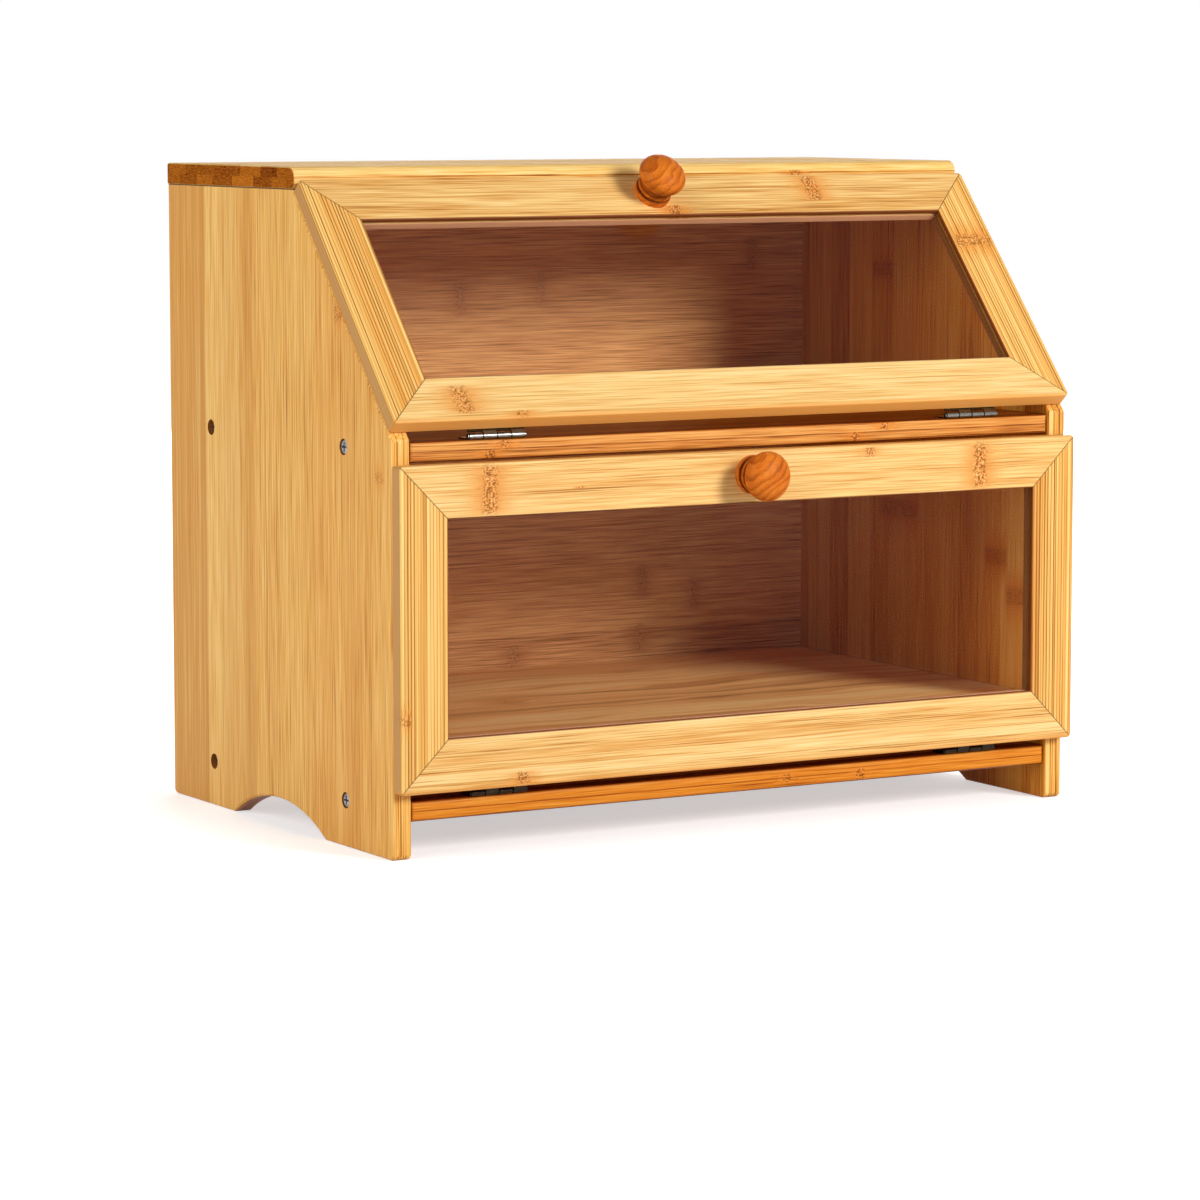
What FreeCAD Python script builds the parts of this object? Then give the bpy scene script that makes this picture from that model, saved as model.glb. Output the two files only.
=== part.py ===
import FreeCAD, Part
import math
import os

# Two-tier bread box of bamboo boards, with an upper door on the sloped front and an upright lower
# door. Both doors are mitred frames around a clear pane and hinge at their lower edges.
#
# Case coordinates, in millimetres: X across with 0 in the middle, Y towards the back with 0 at the
# side panels' front edges, Z up from the counter. Door coordinates: X across, Z up the door from
# its lower edge, Y towards the case with 0 on the door's back face. The exported part has its
# origin on the counter, at the middle of the overall width and depth.

Vector = FreeCAD.Vector
ALONG_X = Vector(1, 0, 0)

# --- Case ---
case_width = 382.0
case_depth = 240.0          # side panels, front edge to back edge
case_height = 320.0
corner_height = 196.0       # height at which the upright front edge turns into the slope
slope_run = 100.5           # from the front edge back to where the slope meets the top board
panel_t = 10.0
foot_round = 3.0
corner_round = 2.5
panel_edge_round = 1.4
arch_chord = 100.0          # foot arch in each side panel
arch_rise = 13.6

top_t = 10.5
top_overhang = 2.8          # of the top board's front face past the end of the slope
top_front_round = 5.5
top_edge_round = 1.2
top_under_round = 0.6       # along the ends' lower edges

board_t = 9.7               # middle shelf, bottom board and raised floor
board_end_gap = 0.2
board_setback = 1.2         # of the boards' front edges behind the side panels' front edges
board_edge_round = 1.8
shelf_drop = 1.2            # of the middle shelf's top below the corner
bottom_top_z = 27.2

back_t = 7.0
back_inset = 5.0            # of the back panel from the side panels' back edges
groove_depth = 4.0
groove_clearance = 0.3      # between the back panel's edges and the bottoms of its grooves

floor_top_z = 53.0          # raised floor of the lower compartment
floor_front_y = 13.0
floor_side_gap = 0.5
bearer_w = 22.0
bearer_side_inset = 19.5    # of the outer bearers from the raised floor's ends
bearer_inset = 8.0          # of the bearers' ends from the raised floor's front and back edges

# --- Doors ---
door_t = 8.0
door_gap = 0.3              # between a shut door and the edges behind it
door_corner_round = 2.2
door_edge_round = 1.0
frame_w = 25.4
opening_edge_round = 0.6
hinge_gap = 4.4             # from the top of a board to the lower edge of the door above it
upper_top_clearance = 1.3   # between the upper door's top edge and the top board's bevel
lower_top_clearance = 0.5   # of the lower door's top edge below the shelf's underside

pane_t = 2.0
pane_setback = 2.0          # from the door's front face to the pane
pane_housing = 4.5          # depth of the groove around the pane
pane_clearance = 0.1        # on each face of the pane
pane_edge_gap = 0.5

knob_drop = 11.6            # from a door's top edge to the knob's axis
knob_base_r = 9.4
knob_base_t = 3.0
knob_groove_r = 7.8
knob_groove_t = 1.0
knob_ring_r = 8.8
knob_ring_t = 2.0
knob_neck_r = 8.0
knob_head_r = 12.0
knob_head_centre = 14.0     # from the door's front face to the widest part of the head
knob_head_half = 7.4        # from the widest part to the tip
knob_edge_round = 0.45

# --- Hinges ---
hinge_length = 30.0
hinge_inset = 56.5          # from a door's end to the middle of the hinge near it
knuckle_count = 4
knuckle_gap = 0.6
barrel_r = 1.5
leaf_t = 0.7
leaf_w = 9.0                # from the hinge axis to the leaf's far edge
leaf_notch_gap = 0.35       # between a leaf and the other leaf's knuckles
pin_r = 0.7
pin_running_gap = 0.05
pin_head_r = 1.15
pin_head_t = 0.5

# --- Screws, dowels and catches ---
panel_screw_head_r = 3.8
panel_screw_head_t = 2.6
panel_screw_r = 2.0
panel_screw_length = 38.0
panel_screw_inset = 48.0    # from the front and back edges
front_head_depth = 0.4      # of the front screws' heads under the panel's face
back_head_depth = 2.2       # of the back screws' heads under the panel's face
hinge_screw_head_r = 1.7
hinge_screw_head_t = 0.8
hinge_screw_r = 1.0
hinge_screw_length = 6.0
hinge_screw_spacing = 18.0
hinge_screw_reach = 5.4     # from the hinge axis to the screws
knob_screw_head_r = 3.6
knob_screw_head_t = 2.0
knob_screw_r = 2.0
knob_screw_length = 18.0
screw_clearance = 0.1       # radial, around every shank and head in its hole
recess_depth_share = 0.6    # of a screw head's thickness
recess_w_share = 0.26       # of a screw head's radius
recess_reach_share = 0.62   # of a screw head's radius

dowel_r = 3.0
dowel_length = 20.0
dowel_depth = 14.0          # of the dowels below the side panels' top edges
dowel_inset = 18.0          # of the outer dowels from the ends of the side panel's top edge
dowel_count = 3
dowel_clearance = 0.05

magnet_r = 3.0
magnet_length = 5.0
magnet_drop = 26.0          # from the lower door's top edge
strike_r = 3.5
strike_t = 1.0
catch_clearance = 0.05

place_tolerance = 1e-4      # for picking out edges by their places

# --- Derived places ---
half_width = case_width / 2
inner_half = half_width - panel_t
board_half = inner_half - board_end_gap
panel_top_z = case_height - top_t
slope_length = math.hypot(slope_run, panel_top_z - corner_height)
slope_angle = math.atan2(panel_top_z - corner_height, slope_run)
up_slope = Vector(0, math.cos(slope_angle), math.sin(slope_angle))
off_slope = Vector(0, -math.sin(slope_angle), math.cos(slope_angle))
slope_foot = Vector(0, 0, corner_height)
back_front_y = case_depth - back_inset - back_t
bottom_z = bottom_top_z - board_t
shelf_top_z = corner_height - shelf_drop

pane_front_y = -door_t + pane_setback
knob_reach = knob_head_centre + knob_head_half
overall_front_y = -(door_gap + door_t + knob_reach)
origin_y = (overall_front_y + case_depth) / 2

lower_door_z = bottom_top_z + hinge_gap
lower_door_length = shelf_top_z - board_t - lower_top_clearance - lower_door_z
upper_door_rise = (shelf_top_z + hinge_gap - corner_height - off_slope.z * door_gap) / up_slope.z
upper_door_length = slope_length - upper_top_clearance - upper_door_rise

# A hinge's barrel lies on the board and against the plane of the door's back face.
hinge_axis_y_in_door = barrel_r
lower_axis_drop = hinge_gap - barrel_r
upper_axis_rise = ((shelf_top_z + barrel_r - corner_height - off_slope.z * (door_gap - barrel_r))
                   / up_slope.z)
upper_axis_drop = upper_door_rise - upper_axis_rise
lower_axis = Vector(0, barrel_r - door_gap, bottom_top_z + barrel_r)
upper_axis = slope_foot + up_slope * upper_axis_rise + off_slope * (door_gap - barrel_r)

lower_door_place = FreeCAD.Placement(Vector(0, -door_gap, lower_door_z), FreeCAD.Rotation())
upper_door_place = FreeCAD.Placement(
    slope_foot + up_slope * upper_door_rise + off_slope * door_gap,
    FreeCAD.Rotation(ALONG_X, math.degrees(slope_angle) - 90))

panel_screw_rows = ((panel_screw_inset, front_head_depth),
                    (case_depth - panel_screw_inset, back_head_depth))
board_middle_zs = (shelf_top_z - board_t / 2, bottom_top_z - board_t / 2)
panel_middle_x = half_width - panel_t / 2
magnet_z_in_door = lower_door_length - magnet_drop
pieces = {}


# --- Shape helpers ---
def box(x0, x1, y0, y1, z0, z1):
    return Part.makeBox(x1 - x0, y1 - y0, z1 - z0, Vector(x0, y0, z0))


def rod(start, direction, length, radius):
    return Part.makeCylinder(radius, length, start, direction)


def prism_along_x(yz_points, x0, x1):
    corners = [Vector(x0, y, z) for y, z in yz_points]
    face = Part.Face(Part.makePolygon(corners + corners[:1]))
    return face.extrude(Vector(x1 - x0, 0, 0))


def rounded(shape, radius, is_wanted):
    return shape.makeFillet(radius, [edge for edge in shape.Edges if is_wanted(edge.BoundBox)])


def near(value, target):
    return abs(value - target) < place_tolerance


def runs_along_x_at(y, z):
    return lambda bounds: (near(bounds.YMin, y) and near(bounds.YMax, y)
                           and near(bounds.ZMin, z) and near(bounds.ZMax, z))


def mirrored(shape):
    return shape.mirror(Vector(0, 0, 0), ALONG_X)


def screw(tip_side, direction, shank_r, length, head_r, head_t):
    """A pan-head cross-recess screw. tip_side is the point under its head, on its axis."""
    shank = rod(tip_side, direction, length, shank_r)
    head_top = tip_side - direction * head_t
    head = rod(head_top, direction, head_t, head_r)
    head = rounded(head, head_t / 2, lambda bounds: bounds.DiagonalLength > head_r
                   and near((bounds.Center - head_top).Length, 0))
    reach = head_r * recess_reach_share
    half_w = head_r * recess_w_share / 2
    depth = head_t * recess_depth_share
    blade = Part.makeBox(2 * reach, 2 * half_w, depth, Vector(-reach, -half_w, 0))
    cross = blade.fuse(blade.rotated(Vector(0, 0, 0), Vector(0, 0, 1), 90))
    cross.Placement = FreeCAD.Placement(head_top, FreeCAD.Rotation(Vector(0, 0, 1), direction))
    return shank.fuse(head).removeSplitter().cut(cross)


# --- Case pieces ---
def side_panel():
    """The right-hand panel, with its outer face at +X."""
    profile = [(0, 0), (0, corner_height), (slope_run, panel_top_z), (case_depth, panel_top_z),
               (case_depth, 0)]
    panel = prism_along_x(profile, inner_half, half_width)
    panel = rounded(panel, corner_round, runs_along_x_at(0, corner_height))
    panel = rounded(panel, foot_round, runs_along_x_at(0, 0))
    panel = rounded(panel, foot_round, runs_along_x_at(case_depth, 0))
    arch_r = (arch_chord ** 2 / 4 + arch_rise ** 2) / (2 * arch_rise)
    arch_centre = Vector(inner_half, case_depth / 2, arch_rise - arch_r)
    panel = panel.cut(rod(arch_centre, ALONG_X, panel_t, arch_r))
    panel = rounded(panel, panel_edge_round,
                    lambda bounds: near(bounds.XLength, 0) and bounds.ZMin < panel_top_z - place_tolerance)
    back_groove = box(inner_half, inner_half + groove_depth, back_front_y, back_front_y + back_t,
                      bottom_z, panel_top_z)
    panel = panel.cut(back_groove)
    for board_z in board_middle_zs:
        for y, depth in panel_screw_rows:
            panel = panel.cut(panel_screw_hole(y, board_z, depth))
    panel = panel.cut(Part.makeCompound(dowel_rods(dowel_r + dowel_clearance)))
    magnet_socket = rod(Vector(panel_middle_x, 0, lower_door_z + magnet_z_in_door), Vector(0, 1, 0),
                        magnet_length, magnet_r + catch_clearance)
    return panel.cut(magnet_socket)


def panel_screw_seat(y, z, depth):
    return Vector(half_width - depth - panel_screw_head_t, y, z)


def panel_screw_hole(y, z, depth):
    seat = panel_screw_seat(y, z, depth)
    shank_hole = rod(seat, -ALONG_X, panel_screw_length, panel_screw_r + screw_clearance)
    head_hole = rod(seat, ALONG_X, panel_screw_head_t + depth, panel_screw_head_r + screw_clearance)
    return shank_hole.fuse(head_hole)


def panel_screws():
    """The right-hand panel's four screws."""
    screws = []
    for z in board_middle_zs:
        for y, depth in panel_screw_rows:
            screws.append(screw(panel_screw_seat(y, z, depth), -ALONG_X, panel_screw_r,
                                panel_screw_length, panel_screw_head_r, panel_screw_head_t))
    return screws


def dowel_rods(radius):
    """The right-hand panel's row of dowels, or their holes."""
    first = slope_run + dowel_inset
    pitch = (back_front_y - dowel_inset - first) / (dowel_count - 1)
    return [rod(Vector(panel_middle_x, first + pitch * index, panel_top_z - dowel_depth),
                Vector(0, 0, 1), dowel_length, radius) for index in range(dowel_count)]


def top_board_dowels():
    right = dowel_rods(dowel_r)
    return right + [mirrored(dowel) for dowel in right]


def top_board():
    front_y = slope_run - top_overhang
    bevel_z = panel_top_z + top_overhang / math.tan(slope_angle)
    profile = [(slope_run, panel_top_z), (front_y, bevel_z), (front_y, case_height),
               (case_depth, case_height), (case_depth, panel_top_z)]
    board = prism_along_x(profile, -half_width, half_width)
    board = rounded(board, top_front_round, runs_along_x_at(front_y, case_height))
    board = rounded(board, top_edge_round,
                    lambda bounds: near(bounds.ZMin, case_height)
                    and bounds.YMax > front_y + top_front_round + place_tolerance)
    board = rounded(board, top_under_round,
                    lambda bounds: near(bounds.XLength, 0) and near(bounds.ZMin, panel_top_z)
                    and near(bounds.ZMax, panel_top_z))
    back_groove = box(-inner_half - groove_depth, inner_half + groove_depth, back_front_y,
                      back_front_y + back_t, panel_top_z, panel_top_z + groove_depth)
    board = board.cut(back_groove)
    holes = dowel_rods(dowel_r + dowel_clearance)
    return board.cut(Part.makeCompound(holes + [mirrored(hole) for hole in holes]))


def back_panel():
    reach = inner_half + groove_depth - groove_clearance
    return box(-reach, reach, back_front_y, back_front_y + back_t, bottom_z,
               panel_top_z + groove_depth - groove_clearance)


def cross_board(top_z):
    """A board between the side panels, drilled for their screws."""
    board = box(-board_half, board_half, board_setback, back_front_y, top_z - board_t, top_z)
    board = rounded(board, board_edge_round, lambda bounds: near(bounds.YMax, board_setback))
    for y, depth in panel_screw_rows:
        hole = panel_screw_hole(y, top_z - board_t / 2, depth)
        board = board.cut(hole).cut(mirrored(hole))
    return board


def with_hinge_pilots(board, axis):
    for hinge_x in hinge_middles():
        for seat in case_screw_seats(hinge_x, axis):
            board = board.cut(rod(seat, Vector(0, 0, -1), hinge_screw_length,
                                  hinge_screw_r + screw_clearance))
    return board


def raised_floor():
    half = inner_half - floor_side_gap
    board = box(-half, half, floor_front_y, back_front_y, floor_top_z - board_t, floor_top_z)
    return rounded(board, board_edge_round, runs_along_x_at(floor_front_y, floor_top_z))


def floor_bearers():
    outer_middle = inner_half - floor_side_gap - bearer_side_inset - bearer_w / 2
    return [box(middle - bearer_w / 2, middle + bearer_w / 2, floor_front_y + bearer_inset,
                back_front_y - bearer_inset, bottom_top_z, floor_top_z - board_t)
            for middle in (-outer_middle, 0, outer_middle)]


def catch_magnets():
    magnet = rod(Vector(panel_middle_x, 0, lower_door_z + magnet_z_in_door), Vector(0, 1, 0),
                 magnet_length, magnet_r)
    return [magnet, mirrored(magnet)]


# --- Door pieces, in door coordinates ---
def frame_blank(length):
    """The whole door frame before it is parted at its mitres."""
    blank = box(-half_width, half_width, -door_t, 0, 0, length)
    blank = rounded(blank, door_corner_round, lambda bounds: near(bounds.YLength, door_t))
    blank = rounded(blank, door_edge_round, lambda bounds: near(bounds.YLength, 0))
    inner_x = half_width - frame_w
    opening = box(-inner_x, inner_x, -door_t, 0, frame_w, length - frame_w)
    blank = blank.cut(opening)
    blank = rounded(blank, opening_edge_round,
                    lambda bounds: near(bounds.YLength, 0)
                    and bounds.XMin > -inner_x - place_tolerance
                    and bounds.XMax < inner_x + place_tolerance
                    and bounds.ZMin > frame_w - place_tolerance
                    and bounds.ZMax < length - frame_w + place_tolerance)
    groove_x = inner_x + pane_housing
    pane_groove = box(-groove_x, groove_x, pane_front_y - pane_clearance,
                      pane_front_y + pane_t + pane_clearance, frame_w - pane_housing,
                      length - frame_w + pane_housing)
    return blank.cut(pane_groove)


def mitre_prism(corners):
    points = [Vector(x, -door_t, z) for x, z in corners]
    face = Part.Face(Part.makePolygon(points + points[:1]))
    return face.extrude(Vector(0, door_t, 0))


def frame_members(length):
    """The four mitred members, by name."""
    blank = frame_blank(length)
    outer = half_width
    inner = half_width - frame_w
    low_left = (-outer, 0)
    low_right = (outer, 0)
    top_left = (-outer, length)
    top_right = (outer, length)
    in_low_left = (-inner, frame_w)
    in_low_right = (inner, frame_w)
    in_top_left = (-inner, length - frame_w)
    in_top_right = (inner, length - frame_w)
    outlines = {
        "bottom_rail": (low_left, low_right, in_low_right, in_low_left),
        "top_rail": (top_left, top_right, in_top_right, in_top_left),
        "left_stile": (low_left, top_left, in_top_left, in_low_left),
        "right_stile": (low_right, top_right, in_top_right, in_low_right),
    }
    return {name: blank.common(mitre_prism(corners)) for name, corners in outlines.items()}


def window_pane(length):
    edge = frame_w - pane_housing + pane_edge_gap
    return box(edge - half_width, half_width - edge, pane_front_y, pane_front_y + pane_t,
               edge, length - edge)


def knob(axis_z):
    """A turned knob around its own axis: base disc, groove, ring, neck and mushroom head, with a
    blind hole for its screw."""
    ring_start = knob_base_t + knob_groove_t
    neck_start = ring_start + knob_ring_t
    neck_angle = -math.acos(knob_neck_r / knob_head_r)
    head_start = knob_head_centre + knob_head_half * math.sin(neck_angle)
    hole_r = knob_screw_r + screw_clearance
    hole_end = knob_screw_length + screw_clearance - door_t
    outline = [(0, knob_reach), (0, hole_end), (hole_r, hole_end), (hole_r, 0), (knob_base_r, 0),
               (knob_base_r, knob_base_t), (knob_groove_r, knob_base_t), (knob_groove_r, ring_start),
               (knob_ring_r, ring_start), (knob_ring_r, neck_start), (knob_neck_r, neck_start),
               (knob_neck_r, head_start)]
    sides = Part.makePolygon([Vector(radius, -reach, 0) for radius, reach in outline])
    head = Part.Ellipse(Vector(knob_head_r, -knob_head_centre, 0), Vector(0, -knob_reach, 0),
                        Vector(0, -knob_head_centre, 0))
    head_side = Part.ArcOfEllipse(head, neck_angle, math.pi / 2).toBSpline().toShape()
    half_section = Part.Face(Part.Wire(sides.Edges + head_side.Edges))
    body = half_section.revolve(Vector(0, 0, 0), Vector(0, 1, 0), 360)
    ridge_widths = (2 * knob_base_r, 2 * knob_ring_r)
    body = rounded(body, knob_edge_round,
                   lambda bounds: near(bounds.YLength, 0) and bounds.YMax < -place_tolerance
                   and any(near(bounds.XLength, width) for width in ridge_widths))
    return body.translated(Vector(0, -door_t, axis_z))


def knob_screw_hole(axis_z):
    return rod(Vector(0, 0, axis_z), Vector(0, -1, 0), knob_screw_length + screw_clearance,
               knob_screw_r + screw_clearance)


def knob_screw(axis_z):
    return screw(Vector(0, 0, axis_z), Vector(0, -1, 0), knob_screw_r, knob_screw_length,
                 knob_screw_head_r, knob_screw_head_t)


def strike_discs():
    disc = rod(Vector(panel_middle_x, -strike_t, magnet_z_in_door), Vector(0, 1, 0), strike_t, strike_r)
    return [mirrored(disc), disc]


def strike_socket(side):
    return rod(Vector(side * panel_middle_x, -strike_t, magnet_z_in_door), Vector(0, 1, 0), strike_t,
               strike_r + catch_clearance)


# --- Hinges ---
def hinge_middles():
    return (hinge_inset - half_width, half_width - hinge_inset)


def knuckle_spans(middle, first):
    """Every second knuckle of a barrel, from knuckle number first, as pairs of X ends."""
    pitch = hinge_length / knuckle_count
    start = middle - hinge_length / 2
    return [(start + pitch * index + knuckle_gap / 2, start + pitch * (index + 1) - knuckle_gap / 2)
            for index in range(first, knuckle_count, 2)]


def hinge_leaf(middle, axis_point, first_knuckle, flat, reach_direction, barrel_side):
    """A leaf whose knuckles wrap the axis. flat(x0, x1, near, far) makes a strip of its plate from
    near to far, both measured from the axis along reach_direction."""
    x0 = middle - hinge_length / 2
    x1 = middle + hinge_length / 2
    leaf = flat(x0, x1, barrel_r + leaf_notch_gap, leaf_w)
    for span_start, span_end in knuckle_spans(middle, first_knuckle):
        leaf = leaf.fuse(flat(span_start, span_end, 0, barrel_r + leaf_notch_gap))
        barrel = rod(Vector(span_start, axis_point.y, axis_point.z), ALONG_X,
                     span_end - span_start, barrel_r)
        leaf = leaf.fuse(barrel)
    bore = rod(Vector(x0, axis_point.y, axis_point.z), ALONG_X, hinge_length,
               pin_r + pin_running_gap)
    leaf = leaf.removeSplitter().cut(bore)
    for x in hinge_screw_xs(middle):
        on_plate = (Vector(x, axis_point.y, axis_point.z) + reach_direction * hinge_screw_reach
                    + barrel_side * barrel_r)
        leaf = leaf.cut(rod(on_plate, -barrel_side, leaf_t, hinge_screw_r + screw_clearance))
    return leaf


def hinge_screw_xs(middle):
    return (middle - hinge_screw_spacing / 2, middle + hinge_screw_spacing / 2)


def case_leaf(middle, axis):
    board_z = axis.z - barrel_r

    def flat(x0, x1, start, end):
        return box(x0, x1, axis.y + start, axis.y + end, board_z, board_z + leaf_t)
    return hinge_leaf(middle, axis, 0, flat, Vector(0, 1, 0), Vector(0, 0, -1))


def door_leaf(middle, axis_drop):
    axis = Vector(0, hinge_axis_y_in_door, -axis_drop)

    def flat(x0, x1, start, end):
        return box(x0, x1, 0, leaf_t, axis.z + start, axis.z + end)
    return hinge_leaf(middle, axis, 1, flat, Vector(0, 0, 1), Vector(0, -1, 0))


def hinge_pin(middle, axis):
    x0 = middle - hinge_length / 2
    shank = rod(Vector(x0 - pin_head_t, axis.y, axis.z), ALONG_X, hinge_length + 2 * pin_head_t, pin_r)
    near_head = rod(Vector(x0 - pin_head_t, axis.y, axis.z), ALONG_X, pin_head_t, pin_head_r)
    far_head = rod(Vector(x0 + hinge_length, axis.y, axis.z), ALONG_X, pin_head_t, pin_head_r)
    return shank.fuse([near_head, far_head]).removeSplitter()


def case_screw_seats(middle, axis):
    return [Vector(x, axis.y + hinge_screw_reach, axis.z - barrel_r + leaf_t)
            for x in hinge_screw_xs(middle)]


def door_screw_seats(middle, axis_drop):
    return [Vector(x, leaf_t, hinge_screw_reach - axis_drop) for x in hinge_screw_xs(middle)]


def hinge_screws(seats, direction):
    return [screw(seat, direction, hinge_screw_r, hinge_screw_length, hinge_screw_head_r,
                  hinge_screw_head_t) for seat in seats]


# --- Assembly ---
def add(name, shapes):
    """Keep a piece, or a group of alike separate solids, under its name."""
    group = shapes if isinstance(shapes, list) else [shapes]
    solids = [solid for shape in group for solid in shape.Solids]
    pieces[name] = solids[0] if len(solids) == 1 else Part.makeCompound(solids)


def placed(shape, placement):
    moved = shape.copy()
    moved.Placement = placement.multiply(moved.Placement)
    return moved


def add_case():
    right_panel = side_panel()
    add("right_side_panel", right_panel)
    add("left_side_panel", mirrored(right_panel))
    add("top_board", top_board())
    add("back_panel", back_panel())
    add("middle_shelf", with_hinge_pilots(cross_board(shelf_top_z), upper_axis))
    add("bottom_board", with_hinge_pilots(cross_board(bottom_top_z), lower_axis))
    add("raised_floor", raised_floor())
    add("floor_bearers", floor_bearers())
    add("right_panel_screws", panel_screws())
    add("left_panel_screws", [mirrored(one) for one in panel_screws()])
    add("top_board_dowels", top_board_dowels())
    add("door_catch_magnets", catch_magnets())


def add_door(tier, length, place, axis, axis_drop):
    members = frame_members(length)
    knob_z = length - knob_drop
    members["top_rail"] = members["top_rail"].cut(knob_screw_hole(knob_z))
    seats = [seat for middle in hinge_middles() for seat in door_screw_seats(middle, axis_drop)]
    for seat in seats:
        pilot = rod(seat, Vector(0, -1, 0), hinge_screw_length, hinge_screw_r + screw_clearance)
        members["bottom_rail"] = members["bottom_rail"].cut(pilot)
    if tier == "lower":
        members["left_stile"] = members["left_stile"].cut(strike_socket(-1))
        members["right_stile"] = members["right_stile"].cut(strike_socket(1))
        add("lower_door_strike_discs", [placed(disc, place) for disc in strike_discs()])
    for member_name, member in members.items():
        add(f"{tier}_door_{member_name}", placed(member, place))
    add(f"{tier}_door_window", placed(window_pane(length), place))
    add(f"{tier}_door_knob", placed(knob(knob_z), place))
    add(f"{tier}_door_knob_screw", placed(knob_screw(knob_z), place))
    for side, middle in zip(("left", "right"), hinge_middles()):
        add(f"{tier}_{side}_hinge_case_leaf", case_leaf(middle, axis))
        add(f"{tier}_{side}_hinge_door_leaf", placed(door_leaf(middle, axis_drop), place))
        add(f"{tier}_{side}_hinge_pin", hinge_pin(middle, axis))
    case_seats = [seat for middle in hinge_middles() for seat in case_screw_seats(middle, axis)]
    add(f"{tier}_hinge_case_screws", hinge_screws(case_seats, Vector(0, 0, -1)))
    add(f"{tier}_hinge_door_screws",
        [placed(one, place) for one in hinge_screws(seats, Vector(0, -1, 0))])


def export_pieces():
    os.makedirs("parts", exist_ok=True)
    for name, shape in pieces.items():
        shape.translate(Vector(0, -origin_y, 0))
        shape.exportStep(f"parts/{name}.step")


add_case()
add_door("lower", lower_door_length, lower_door_place, lower_axis, lower_axis_drop)
add_door("upper", upper_door_length, upper_door_place, upper_axis, upper_axis_drop)
export_pieces()
for tier, axis in (("lower", lower_axis), ("upper", upper_axis)):
    print(f"{tier} hinge axis at y {axis.y - origin_y:.3f}, z {axis.z:.3f}")
print(f"slope {math.degrees(slope_angle):.3f} degrees, origin {origin_y:.3f} behind the front edge")
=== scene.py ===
import bpy
import math
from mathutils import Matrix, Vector


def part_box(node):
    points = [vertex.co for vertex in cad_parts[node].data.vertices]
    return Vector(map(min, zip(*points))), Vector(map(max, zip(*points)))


# A two-tier bamboo bread box. Every visible piece is a CAD node: this script gives each node its
# procedural material, then sets the stage, the lamps and the camera.

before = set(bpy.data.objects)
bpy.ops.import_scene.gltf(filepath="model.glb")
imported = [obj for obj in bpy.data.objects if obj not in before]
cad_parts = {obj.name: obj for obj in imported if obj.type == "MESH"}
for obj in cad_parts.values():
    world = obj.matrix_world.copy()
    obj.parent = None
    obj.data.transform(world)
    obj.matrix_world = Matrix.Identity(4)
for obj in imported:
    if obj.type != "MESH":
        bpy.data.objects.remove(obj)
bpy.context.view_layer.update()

X = Vector((1, 0, 0))
Y = Vector((0, 1, 0))
Z = Vector((0, 0, 1))
MM = 1000.0                 # millimetres in a metre

# Places and sizes shared with the CAD model, in millimetres, in the part's frame.
HALF_WIDTH = 191.0
FRONT_Y = -105.15           # the side panels' front edges
CORNER_HEIGHT = 196.0       # the slope's foot
SLOPE_ANGLE = math.radians(48.476)
UP_SLOPE = Vector((0, math.cos(SLOPE_ANGLE), math.sin(SLOPE_ANGLE)))
OFF_SLOPE = Vector((0, -math.sin(SLOPE_ANGLE), math.cos(SLOPE_ANGLE)))
SLOPE_FOOT = Vector((0, FRONT_Y, CORNER_HEIGHT))
SIDE_MIDDLE_X = 186.0
SIDE_MIDDLE_Y = 120 + FRONT_Y
SIDE_TOP_Z = 309.5
TOP_BOARD_Z = 314.7         # this and the next five are middles of the boards' thicknesses
SHELF_Z = 189.95
RAISED_FLOOR_Z = 48.1
BEARERS_Z = 35.2
BOTTOM_BOARD_Z = 22.35
BACK_PANEL_Y = 126.35
BACK_PANEL_FRONT_Y = 228 + FRONT_Y
BOARD_END_X = 180.8         # where the shelf and the bottom board meet the side panels
SCREWS_FROM_MIDDLE = 72.0   # of a side panel, along Y
SCREW_HEIGHTS = (BOTTOM_BOARD_Z, SHELF_Z)
FRAME_W = 25.4              # of a door's rails and stiles
DOOR_HALF = 4.0             # half a door's thickness
DOOR_MIDDLE = 0.3 + DOOR_HALF   # from the case's front to the middle of a shut door
LOWER_DOOR_Z = 31.6
LOWER_DOOR_LENGTH = 153.0
UPPER_DOOR_RISE = 4.007     # from the slope's foot to the upper door's lower edge
UPPER_DOOR_LENGTH = 146.28
KNOB_GROOVE = 3.5           # above the door's face, as is the neck
KNOB_NECK = 7.4


def colour(red, green, blue):
    """An sRGB colour, 0 to 255, as the linear RGBA that a shader takes."""
    channels = []
    for value in (red / 255, green / 255, blue / 255):
        channels.append(value / 12.92 if value <= 0.04045 else ((value + 0.055) / 1.055) ** 2.4)
    return (*channels, 1.0)


def shade_set(*colours):
    return tuple(colour(*parts) for parts in colours)


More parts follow.
